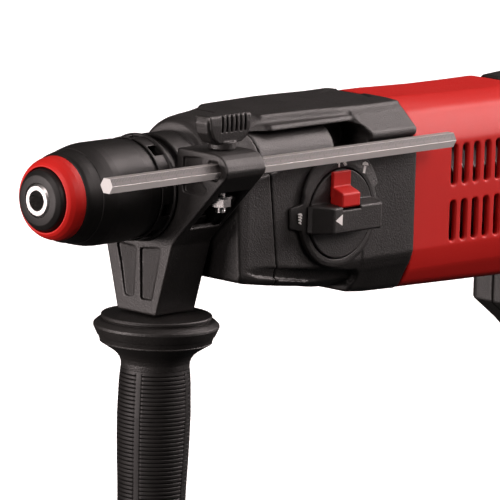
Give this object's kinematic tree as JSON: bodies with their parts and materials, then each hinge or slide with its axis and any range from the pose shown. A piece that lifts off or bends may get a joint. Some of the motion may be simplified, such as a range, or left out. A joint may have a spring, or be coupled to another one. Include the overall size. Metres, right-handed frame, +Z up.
{
  "type": "rotary hammer",
  "caption": "Rotary hammer with a keyless tool chuck, turnable side handle, hexagonal depth rod, side mode selector and closed rear handle.",
  "frame": {"origin": "centre of the tool bore's mouth at the front of the chuck", "axes": "+X out of the tool bore, +Y towards the tool's left side with the mode selector, +Z up"},
  "size_m": [0.41, 0.0962, 0.2228],
  "materials": {
    "black_plastic": "fine-grained satin moulding",
    "sleeve_plastic": "smooth satin moulding",
    "red_plastic": "satin",
    "soft_rubber": "matt soft-touch",
    "steel": "ground",
    "dark_steel": "hardened, oiled",
    "alloy": "die cast",
    "copper": "enamelled and turned",
    "brass": "stamped",
    "carbon": "dull graphite"
  },
  "bodies": {
    "housing": {"gear_case_front": "black_plastic", "gear_case_rear": "black_plastic", "motor_housing": "red_plastic", "handle_left": "black_plastic", "handle_right": "black_plastic", "grip_cover": "soft_rubber", "index_ring": "black_plastic", "mode_ring": "black_plastic", "case_screws": "dark_steel", "handle_screws": "dark_steel", "stator": "dark_steel", "brush_holders": "brass", "brushes": "carbon", "brush_springs": "steel", "spindle_bearing": "steel", "shaft_bearings": "steel", "motor_bearings": "steel", "shaft_seal": "soft_rubber", "bearing_plate": "alloy", "air_baffle": "black_plastic", "switch_module": "black_plastic", "cable_gland": "soft_rubber"},
    "tool_holder": {"spindle": "steel", "spindle_gear": "dark_steel", "dust_cap": "soft_rubber", "sleeve_spring": "steel"},
    "sleeve": {"locking_sleeve": "sleeve_plastic", "sleeve_cap": "red_plastic"},
    "ball_left": {"lock_ball_left": "steel"},
    "ball_right": {"lock_ball_right": "steel"},
    "beat_piece": {"anvil": "dark_steel", "anvil_seal": "soft_rubber"},
    "hollow_piston": {"piston": "alloy", "wrist_pin": "steel"},
    "hammer": {"striker": "dark_steel", "striker_ring": "soft_rubber"},
    "middle_shaft": {"intermediate_shaft": "dark_steel", "intermediate_gear": "dark_steel", "wobble_hub": "steel"},
    "clutch": {"drive_clutch": "dark_steel"},
    "wobble_drive": {"wobble_ring": "steel"},
    "armature": {"armature_shaft": "steel", "armature_core": "dark_steel", "commutator": "copper", "fan": "black_plastic", "windings": "copper"},
    "selector": {"mode_knob": "black_plastic", "selector_pin": "steel"},
    "selector_lock": {"lock_button": "red_plastic"},
    "trigger_key": {"trigger": "red_plastic"},
    "lock_on_key": {"lock_on_button": "black_plastic"},
    "direction_key": {"direction_lever": "black_plastic"},
    "side_handle": {"handle_bracket": "black_plastic"},
    "strap": {"clamp_band": "black_plastic", "band_bolt": "steel"},
    "side_grip": {"grip_core": "black_plastic", "grip_sleeve": "soft_rubber"},
    "wing_screw": {"wing_knob": "black_plastic"},
    "rod_nut": {"clamp_nut": "steel"},
    "rod": {"depth_rod": "steel"}
  },
  "joints": [
    {"name": "motor_spin", "type": "hinge", "parent": "housing", "child": "armature", "pos_m": [-0.27, 0, -0.014], "axis": [1, 0, 0], "continuous": true},
    {"name": "middle_spin", "type": "hinge", "parent": "housing", "child": "middle_shaft", "pos_m": [-0.18, 0, -0.032], "axis": [1, 0, 0], "continuous": true},
    {"name": "spindle_spin", "type": "hinge", "parent": "housing", "child": "tool_holder", "pos_m": [-0.08, 0, 0], "axis": [1, 0, 0], "continuous": true},
    {"name": "sleeve_slide", "type": "slide", "parent": "tool_holder", "child": "sleeve", "axis": [-1, 0, 0], "range_m": [0, 0.006], "stiffness_N_per_m": 2000, "springref_m": -0.004, "deforming": ["sleeve_spring"]},
    {"name": "left_ball_slide", "type": "slide", "parent": "tool_holder", "child": "ball_left", "axis": [0, 1, 0], "range_m": [0, 0.00132]},
    {"name": "right_ball_slide", "type": "slide", "parent": "tool_holder", "child": "ball_right", "axis": [0, -1, 0], "range_m": [0, 0.00132]},
    {"name": "anvil_slide", "type": "slide", "parent": "tool_holder", "child": "beat_piece", "axis": [1, 0, 0], "range_m": [0, 0.006]},
    {"name": "piston_slide", "type": "slide", "parent": "housing", "child": "hollow_piston", "axis": [1, 0, 0], "range_m": [-0.0056, 0.0056]},
    {"name": "striker_slide", "type": "slide", "parent": "housing", "child": "hammer", "axis": [1, 0, 0], "range_m": [-0.006, 0.0085]},
    {"name": "clutch_slide", "type": "slide", "parent": "middle_shaft", "child": "clutch", "axis": [-1, 0, 0], "range_m": [0, 0.004]},
    {"name": "wobble_swing", "type": "hinge", "parent": "housing", "child": "wobble_drive", "pos_m": [-0.19, 0, -0.032], "axis": [0, 1, 0], "range_deg": [-10, 10]},
    {"name": "mode_turn", "type": "hinge", "parent": "housing", "child": "selector", "pos_m": [-0.165, 0.04, -0.017], "axis": [0, -1, 0], "range_deg": [0, 130]},
    {"name": "lock_button_slide", "type": "slide", "parent": "selector", "child": "selector_lock", "axis": [0, 0, -1], "range_m": [0, 0.001], "stiffness_N_per_m": 400, "springref_m": -0.003},
    {"name": "trigger_slide", "type": "slide", "parent": "housing", "child": "trigger_key", "axis": [-1, 0, 0], "range_m": [0, 0.006], "stiffness_N_per_m": 800, "springref_m": -0.004},
    {"name": "lock_on_slide", "type": "slide", "parent": "housing", "child": "lock_on_key", "axis": [0, -1, 0], "range_m": [0, 0.002], "stiffness_N_per_m": 500, "springref_m": -0.003},
    {"name": "direction_turn", "type": "hinge", "parent": "housing", "child": "direction_key", "pos_m": [-0.346, 0.015, 0.012], "axis": [0, 1, 0], "range_deg": [-25, 25]},
    {"name": "handle_swing", "type": "hinge", "parent": "housing", "child": "side_handle", "pos_m": [-0.082, 0, 0], "axis": [1, 0, 0], "range_deg": [-5, 180]},
    {"name": "grip_turn", "type": "hinge", "parent": "side_handle", "child": "side_grip", "pos_m": [-0.082, 0, -0.1], "axis": [0, 0, -1], "range_deg": [0, 90]},
    {"name": "band_slide", "type": "slide", "parent": "side_handle", "child": "strap", "axis": [0, 0, 1], "range_m": [0, 0.00032]},
    {"name": "wing_turn", "type": "hinge", "parent": "side_handle", "child": "wing_screw", "pos_m": [-0.082, 0.0406, 0.02], "axis": [0, 0, 1], "range_deg": [0, 720]},
    {"name": "nut_slide", "type": "slide", "parent": "side_handle", "child": "rod_nut", "axis": [0, 0, -1], "range_m": [0, 0.00161]},
    {"name": "rod_slide", "type": "slide", "parent": "side_handle", "child": "rod", "axis": [1, 0, 0], "range_m": [-0.05, 0.12]}
  ],
  "couplings": [
    {"joint": "middle_spin", "follows": "motor_spin", "ratio": -0.28571},
    {"joint": "spindle_spin", "follows": "motor_spin", "ratio": 0.065934},
    {"joint": "left_ball_slide", "follows": "sleeve_slide", "ratio": 0.22},
    {"joint": "right_ball_slide", "follows": "sleeve_slide", "ratio": 0.22},
    {"joint": "piston_slide", "follows": "wobble_swing", "m_per_rad": 0.032},
    {"joint": "clutch_slide", "follows": "mode_turn", "m_per_rad": 0.00176},
    {"joint": "band_slide", "follows": "grip_turn", "m_per_rad": 0.00019894},
    {"joint": "nut_slide", "follows": "wing_turn", "m_per_rad": 0.00012732}
  ]
}
